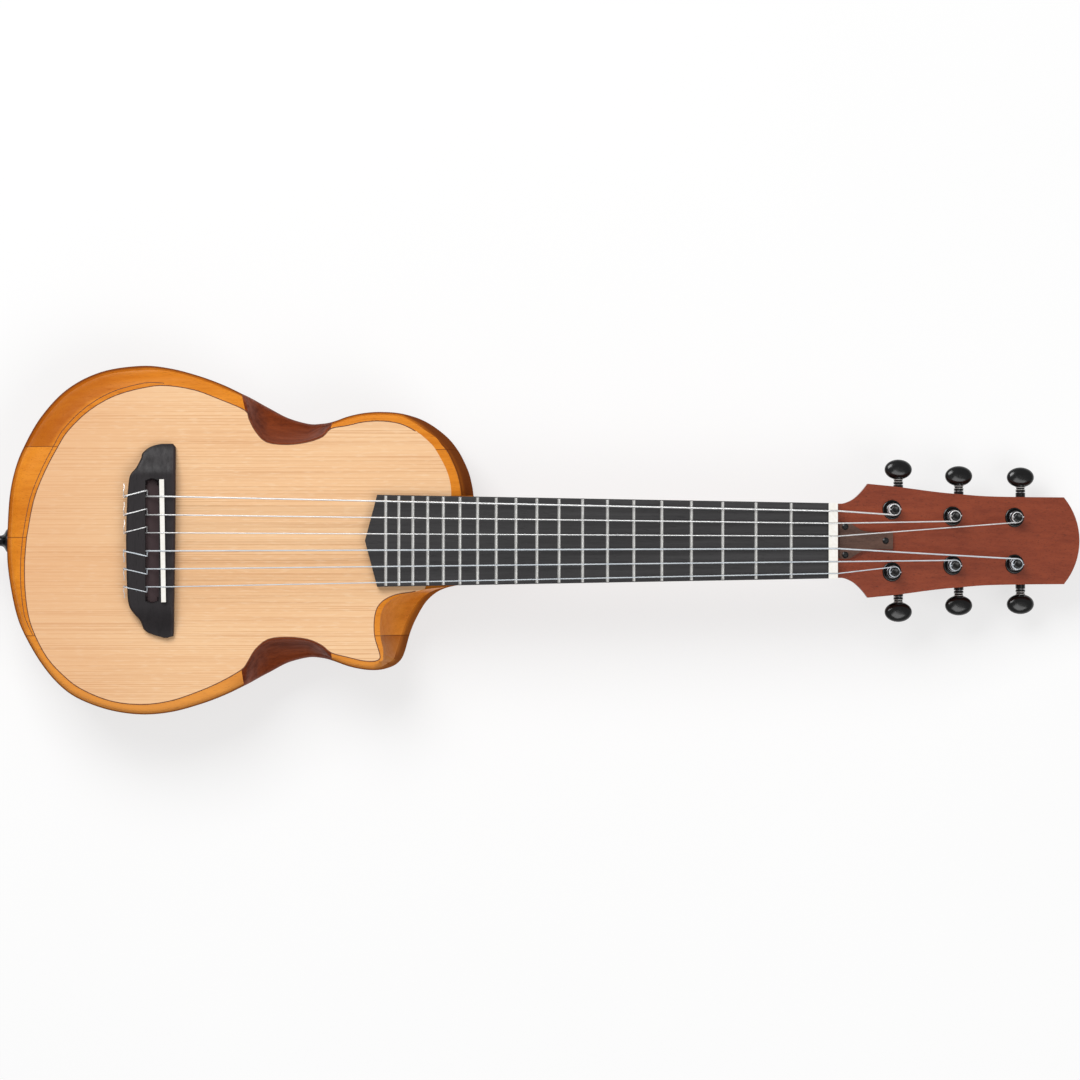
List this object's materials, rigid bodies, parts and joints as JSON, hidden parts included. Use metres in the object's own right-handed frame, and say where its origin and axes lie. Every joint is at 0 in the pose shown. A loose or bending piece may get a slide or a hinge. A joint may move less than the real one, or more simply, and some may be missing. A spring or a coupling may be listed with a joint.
{
  "type": "small nylon-string guitar",
  "caption": "Short-scale nylon-string guitar with a single cutaway, scooped waists, arm bevel, tied bridge, tilted headstock and geared tuners whose knobs turn the string posts.",
  "frame": {"origin": "on the flat back, under the saddle line, on the centreline", "axes": "+X runs along the neck to the headstock, +Y to the bass side, +Z out of the soundboard"},
  "size_m": [0.7181, 0.228, 0.0835],
  "materials": {
    "soundboard_spruce": "satin lacquer",
    "rim_wood": "satin lacquer",
    "waist_wood": "satin lacquer",
    "back_wood": "satin lacquer",
    "purfling_brown": "satin lacquer",
    "brace_wood": "raw",
    "block_wood": "raw",
    "bridge_rosewood": "oiled",
    "white_bone": "polished",
    "black_metal": "gloss black",
    "steel_parts": "plain",
    "neck_wood": "satin",
    "headstock_wood": "satin lacquer",
    "fretboard_ebony": "oiled",
    "fret_nickel": "polished",
    "cover_rosewood": "satin",
    "nylon_clear": "translucent",
    "string_wound": "silver-plated winding",
    "knob_black": "gloss"
  },
  "bodies": {
    "guitar": {"rim_tail_bass": "rim_wood", "rim_lower_bass": "rim_wood", "waist_block_bass": "waist_wood", "rim_upper_bass": "rim_wood", "rim_neck_bass": "rim_wood", "rim_tail_treble": "rim_wood", "rim_lower_treble": "rim_wood", "waist_block_treble": "waist_wood", "rim_horn": "rim_wood", "rim_cutaway": "rim_wood", "back_plate": "back_wood", "soundboard": "soundboard_spruce", "purfling": "purfling_brown", "soundboard_braces": "brace_wood", "back_braces": "brace_wood", "bridge_plate": "brace_wood", "neck_block": "rim_wood", "tail_block": "block_wood", "bridge": "bridge_rosewood", "saddle": "white_bone", "strap_button": "black_metal", "strap_button_screw": "steel_parts", "neck": "neck_wood", "headstock": "headstock_wood", "fretboard": "fretboard_ebony", "frets": "fret_nickel", "nut": "white_bone", "truss_rod": "steel_parts", "truss_rod_cover": "cover_rosewood", "truss_cover_screws": "black_metal", "tuner_housings": "black_metal", "tuner_lids": "black_metal", "tuner_bushings": "black_metal", "tuner_screws": "steel_parts", "string_1": "nylon_clear", "string_2": "nylon_clear", "string_3": "nylon_clear", "string_4": "string_wound", "string_5": "string_wound", "string_6": "string_wound"},
    "post_body_1": {"post_1": "black_metal"},
    "knob_body_1": {"worm_1": "steel_parts", "knob_1": "knob_black"},
    "post_body_2": {"post_2": "black_metal"},
    "knob_body_2": {"worm_2": "steel_parts", "knob_2": "knob_black"},
    "post_body_3": {"post_3": "black_metal"},
    "knob_body_3": {"worm_3": "steel_parts", "knob_3": "knob_black"},
    "post_body_4": {"post_4": "black_metal"},
    "knob_body_4": {"worm_4": "steel_parts", "knob_4": "knob_black"},
    "post_body_5": {"post_5": "black_metal"},
    "knob_body_5": {"worm_5": "steel_parts", "knob_5": "knob_black"},
    "post_body_6": {"post_6": "black_metal"},
    "knob_body_6": {"worm_6": "steel_parts", "knob_6": "knob_black"}
  },
  "joints": [
    {"name": "knob_turn_1", "type": "hinge", "parent": "guitar", "child": "knob_body_1", "pos_m": [0.4812, -0.0203, 0.04166], "axis": [0, -1, 0], "continuous": true},
    {"name": "post_turn_1", "type": "hinge", "parent": "guitar", "child": "post_body_1", "pos_m": [0.476, -0.0203, 0.06239], "axis": [0.2079, 0, 0.9781], "continuous": true},
    {"name": "knob_turn_2", "type": "hinge", "parent": "guitar", "child": "knob_body_2", "pos_m": [0.52131, -0.0161, 0.03313], "axis": [0, -1, 0], "continuous": true},
    {"name": "post_turn_2", "type": "hinge", "parent": "guitar", "child": "post_body_2", "pos_m": [0.5161, -0.0161, 0.05387], "axis": [0.2079, 0, 0.9781], "continuous": true},
    {"name": "knob_turn_3", "type": "hinge", "parent": "guitar", "child": "knob_body_3", "pos_m": [0.56239, -0.0153, 0.0244], "axis": [0, -1, 0], "continuous": true},
    {"name": "post_turn_3", "type": "hinge", "parent": "guitar", "child": "post_body_3", "pos_m": [0.55719, -0.0153, 0.04513], "axis": [0.2079, 0, 0.9781], "continuous": true},
    {"name": "knob_turn_4", "type": "hinge", "parent": "guitar", "child": "knob_body_4", "pos_m": [0.56239, 0.0153, 0.0244], "axis": [0, 1, 0], "continuous": true},
    {"name": "post_turn_4", "type": "hinge", "parent": "guitar", "child": "post_body_4", "pos_m": [0.55719, 0.0153, 0.04513], "axis": [0.2079, 0, 0.9781], "continuous": true},
    {"name": "knob_turn_5", "type": "hinge", "parent": "guitar", "child": "knob_body_5", "pos_m": [0.52131, 0.0161, 0.03313], "axis": [0, 1, 0], "continuous": true},
    {"name": "post_turn_5", "type": "hinge", "parent": "guitar", "child": "post_body_5", "pos_m": [0.5161, 0.0161, 0.05387], "axis": [0.2079, 0, 0.9781], "continuous": true},
    {"name": "knob_turn_6", "type": "hinge", "parent": "guitar", "child": "knob_body_6", "pos_m": [0.4812, 0.0203, 0.04166], "axis": [0, 1, 0], "continuous": true},
    {"name": "post_turn_6", "type": "hinge", "parent": "guitar", "child": "post_body_6", "pos_m": [0.476, 0.0203, 0.06239], "axis": [0.2079, 0, 0.9781], "continuous": true}
  ],
  "couplings": [
    {"joint": "post_turn_1", "follows": "knob_turn_1", "ratio": -0.066667},
    {"joint": "post_turn_2", "follows": "knob_turn_2", "ratio": -0.066667},
    {"joint": "post_turn_3", "follows": "knob_turn_3", "ratio": -0.066667},
    {"joint": "post_turn_4", "follows": "knob_turn_4", "ratio": -0.066667},
    {"joint": "post_turn_5", "follows": "knob_turn_5", "ratio": -0.066667},
    {"joint": "post_turn_6", "follows": "knob_turn_6", "ratio": -0.066667}
  ]
}
